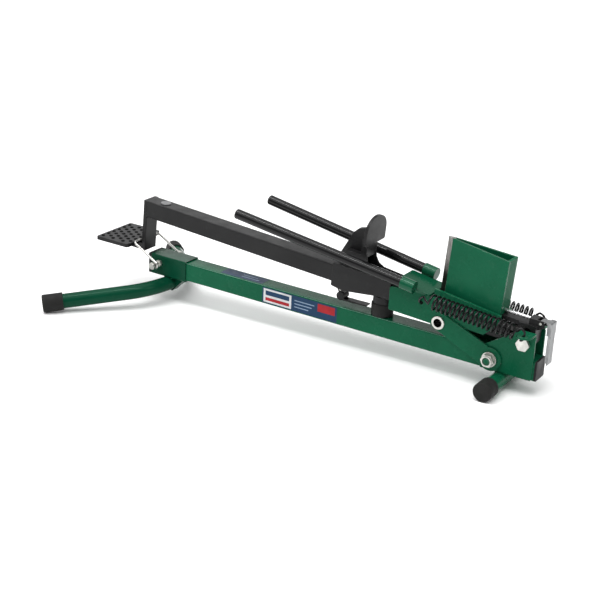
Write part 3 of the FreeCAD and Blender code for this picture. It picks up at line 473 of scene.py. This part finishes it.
weld("weld_post", [arm(POST_FACE, -17.5, 41.4), arm(POST_FACE, 17.5, 41.4)], "lever", 0.0018, black)
both_sides("weld_bracket_end",
           lambda side: [at(BRACKET_END, side * 21.2, 6), at(BRACKET_END, side * 21.2, 38)], "base")
both_sides("weld_bracket_low",
           lambda side: [at(800, side * 21.4, BRACKET_LOW), at(902, side * 21.4, BRACKET_LOW)], "base")
both_sides("weld_box",
           lambda side: [arm(-338, side * BOX_SIDE, BOX_FOOT), arm(-294, side * BOX_SIDE, BOX_FOOT)],
           "pusher", 0.0017, black)
both_sides("weld_fin",
           lambda side: [arm(PUSH_PLATE_BACK, side * 5.6, 120), arm(PUSH_PLATE_BACK, side * 5.6, 147)],
           "pusher", 0.0017, black)
for tube_name, tube_x, tube_z in TUBE_JOINTS:
    for side, word in ((-1, "left"), (1, "right")):
        beside = tube_x + side * TUBE_REACH
        weld(f"weld_{tube_name}_{word}", [at(beside, -TUBE_HALF, tube_z), at(beside, TUBE_HALF, tube_z)],
             "base", 0.0022)


def disc(name, centre, radius, crown, body, material):
    """Round face towards the near side, slightly domed."""
    build = bmesh.new()
    sides = 32
    bands = 5
    rings = []
    for ring in range(bands + 1):
        share = ring / bands
        reach = radius * math.cos(share * math.pi / 2 * 0.96)
        lift = crown * math.sin(share * math.pi / 2)
        turns = [2 * math.pi * step / sides for step in range(sides)]
        rings.append([build.verts.new(at(centre.x + reach * math.cos(angle), centre.y - lift,
                                         centre.z + reach * math.sin(angle)))
                      for angle in turns])
    skin(build, rings)
    build.faces.new(rings[-1])
    build.faces.new(list(reversed(rings[0])))
    return finish_piece(as_piece(name, build), body, material)


# Pale green line along the beam's upper near edge: a painted highlight standing in for light caught by the
# rounded edge.
painted_edge_highlight_green = paint("painted_edge_highlight_enamel", (0.16, 0.34, 0.25), (0.05, 0.17, 0.11), (0.20, 0.36, 0.28),
                     0.25, 0.40, 0.20, 300, 0.10, 0.10)
HIGHLIGHT_INSET = 0.25              # the painted highlight line lies this far inside the beam's upper near edge
HIGHLIGHT_FROM = 86
HIGHLIGHT_TO = 752
highlight_line = [at(x, HIGHLIGHT_INSET - BEAM / 2, BEAM - HIGHLIGHT_INSET) for x in (HIGHLIGHT_FROM, HIGHLIGHT_TO)]
finish_piece(tube("beam_edge_painted_highlight", highlight_line, 0.0006, 8), "base", painted_edge_highlight_green)
disc("pivot_bolt_end_paint", Vector((PIVOT.x, BOLT_END_Y, PIVOT.z)), BOLT_END_RADIUS, 0.5, "base", green)


def hole_rims(name, places, inner, outer, height, body, material):
    """Punched collars round holes in a level plate. places are hole centres in the beam frame."""
    build = bmesh.new()
    sides = 20
    sunk = -0.1
    taper = 0.4
    for place in places:
        rings = []
        for reach, lift in ((outer, sunk), (outer - taper, height), (inner, height), (inner, sunk)):
            rings.append([build.verts.new(at(place.x + reach * math.cos(2 * math.pi * step / sides),
                                             place.y + reach * math.sin(2 * math.pi * step / sides),
                                             place.z + lift)) for step in range(sides)])
        skin(build, rings + rings[:1])
    return finish_piece(as_piece(name, build), body, material, smooth=False)


# Near-black collars round the pedal's holes: painted shade that makes the holes read darker and larger.
painted_shade_hole_black = paint("painted_shade_hole_rim", (0.004, 0.004, 0.0042), (0.003, 0.003, 0.0031), (0.02, 0.02, 0.02),
                   0.5, 0.7, 0.05, 600, 0.2, 0.01)
hole_places = []
for row in range(PEDAL_ROWS):
    for column in range(PEDAL_COLUMNS):
        along_plate = PEDAL_FIRST_HOLE[0] + row * PEDAL_STEP[0]
        across_plate = PEDAL_FIRST_HOLE[1] + column * PEDAL_STEP[1] + (PEDAL_STAGGER if row % 2 else 0)
        if across_plate < PEDAL_LAST_HOLE:
            hole_places.append(Vector((along_plate, across_plate, PEDAL_TOP)))
hole_rims("pedal_hole_rims", hole_places, HOLE_RADIUS, RIM_RADIUS, RIM_HEIGHT, "lever", painted_shade_hole_black)


def label(name, corners, material, body):
    """Thin sticker, laid on a face, with its four corners given in the beam frame."""
    build = bmesh.new()
    verts = [build.verts.new(at(*corner)) for corner in corners]
    build.faces.new(verts)
    return finish_piece(as_piece(name, build, outward=False), body, material, smooth=False)


def sticker(name, colour):
    """Printed vinyl: slightly mottled ink, soft gloss."""
    material, tree, shader = new_material(name)
    dark = tuple(channel * 0.82 for channel in colour)
    ink = ramp(tree, noise(tree, 55, 5), 0.35, 0.7, (*dark, 1), (*colour, 1))
    wear = ramp(tree, noise(tree, 160, 8, 0.75), 0.64, 0.76, grey(0), grey(0.25))
    tree.links.new(mix(tree, wear, ink, (0.42, 0.43, 0.44, 1)), shader.inputs["Base Color"])
    shader.inputs["Specular IOR Level"].default_value = 0.15
    rough = ramp(tree, noise(tree, 80, 4), 0.3, 0.7, grey(0.28), grey(0.4))
    tree.links.new(rough, shader.inputs["Roughness"])
    bump(tree, shader, [(noise(tree, 220, 3), 0.06, 0.0002)], 0.0002)
    return material


def side_label(name, x0, x1, z0, z1, lift, material):
    y = -BEAM / 2 - lift
    return label(name, [(x0, y, z0), (x1, y, z0), (x1, y, z1), (x0, y, z1)], material, "base")


def top_label(name, x0, x1, y0, y1, lift, material):
    z = BEAM + lift
    return label(name, [(x0, y0, z), (x1, y0, z), (x1, y1, z), (x0, y1, z)], material, "base")


navy = sticker("navy_vinyl", (0.010, 0.040, 0.095))
red = sticker("red_vinyl", (0.36, 0.016, 0.022))
white = sticker("white_vinyl", (0.62, 0.63, 0.64))
pale = sticker("pale_vinyl", (0.24, 0.33, 0.46))
side_label("label_navy", 296, 478, 3, 37, 0.10, navy)
side_label("label_white_block", 299, 368, 5, 35, 0.14, white)
side_label("label_inner_navy", 304, 363, 21, 31, 0.18, navy)
side_label("label_red_block", 304, 363, 9, 16, 0.18, red)
side_label("label_red_tag", 432, 473, 17, 34, 0.14, red)
for row, (x0, x1) in enumerate(((376, 424), (376, 418), (376, 410))):
    side_label(f"label_pale_bar_{row}", x0, x1, 25.5 - row * 7, 27.5 - row * 7, 0.14, pale)
top_label("label_top", 184, 290, -15, 15, 0.10, navy)
for row in range(2):
    top_label(f"label_top_bar_{row}", 232, 276 - row * 8, -6 + row * 9, -3.5 + row * 9, 0.14, pale)

# ---- stage --------------------------------------------------------------------------------
floor_mesh = bpy.data.meshes.new("floor")
floor_mesh.from_pydata([(-30, -30, 0), (30, -30, 0), (30, 30, 0), (-30, 30, 0)], [], [(0, 1, 2, 3)])
floor = mesh_piece("floor", floor_mesh)
floor.location.z = -0.0004
floor_paint, _, floor_shader = new_material("pale_floor")
floor_shader.inputs["Base Color"].default_value = (0.97, 0.97, 0.97, 1)
floor_shader.inputs["Roughness"].default_value = 0.7
floor.data.materials.append(floor_paint)


def lamp(name, place, aim, size, power):
    data = bpy.data.lights.new(name, "AREA")
    data.shape = "RECTANGLE"
    data.size = size[0]
    data.size_y = size[1]
    data.energy = power
    thing = bpy.data.objects.new(name, data)
    thing.location = place
    thing.rotation_euler = (Vector(aim) - Vector(place)).to_track_quat("-Z", "Y").to_euler()
    thing.visible_camera = False
    bpy.context.scene.collection.objects.link(thing)


lamp("overhead_strip", (-0.1, -0.5, 1.9), (0, 0, 0.1), (2.8, 0.08), 20)
lamp("left_panel", (-2.4, -1.4, 1.4), (-0.1, 0, 0.1), (1.0, 1.2), 5)
lamp("right_panel", (2.6, -0.4, 1.7), (0.3, 0, 0.1), (0.8, 1.2), 10)
lamp("rear_panel", (-1.5, 2.4, 1.22), (0, 0, 0.15), (4.0, 0.7), 12)
sun_data = bpy.data.lights.new("sun", "SUN")
sun_data.energy = 2.6
sun_data.angle = math.radians(80)
sun = bpy.data.objects.new("sun", sun_data)
sun.rotation_euler = Vector((0.12, 0.22, -1.0)).to_track_quat("-Z", "Y").to_euler()
bpy.context.scene.collection.objects.link(sun)
world = bpy.data.worlds.new("studio")
bpy.context.scene.world = world
world.use_nodes = True
world.node_tree.nodes["Background"].inputs["Color"].default_value = (1, 1, 1, 1)
world.node_tree.nodes["Background"].inputs["Strength"].default_value = 0.38
bpy.context.scene.view_settings.view_transform = "Standard"

# ---- camera -------------------------------------------------------------------------------
CAMERA_PLACE = at(1709.32, -2137.91, 1045.21)
CAMERA_AZIMUTH = math.radians(31.94)
CAMERA_FALL = math.radians(22.12)
CAMERA_ROLL = math.radians(2.67)
LENS = 78.96
SENSOR = 36.0
camera_data = bpy.data.cameras.new("camera")
camera_data.lens = LENS
camera_data.sensor_width = SENSOR
camera = bpy.data.objects.new("camera", camera_data)
camera.location = CAMERA_PLACE
look = (TURN @ Matrix.Rotation(CAMERA_AZIMUTH, 3, "Z") @ Matrix.Rotation(math.pi / 2 - CAMERA_FALL, 3, "X")
        @ Matrix.Rotation(CAMERA_ROLL, 3, "Z"))
camera.rotation_euler = look.to_euler()
bpy.context.scene.collection.objects.link(camera)
bpy.context.scene.camera = camera
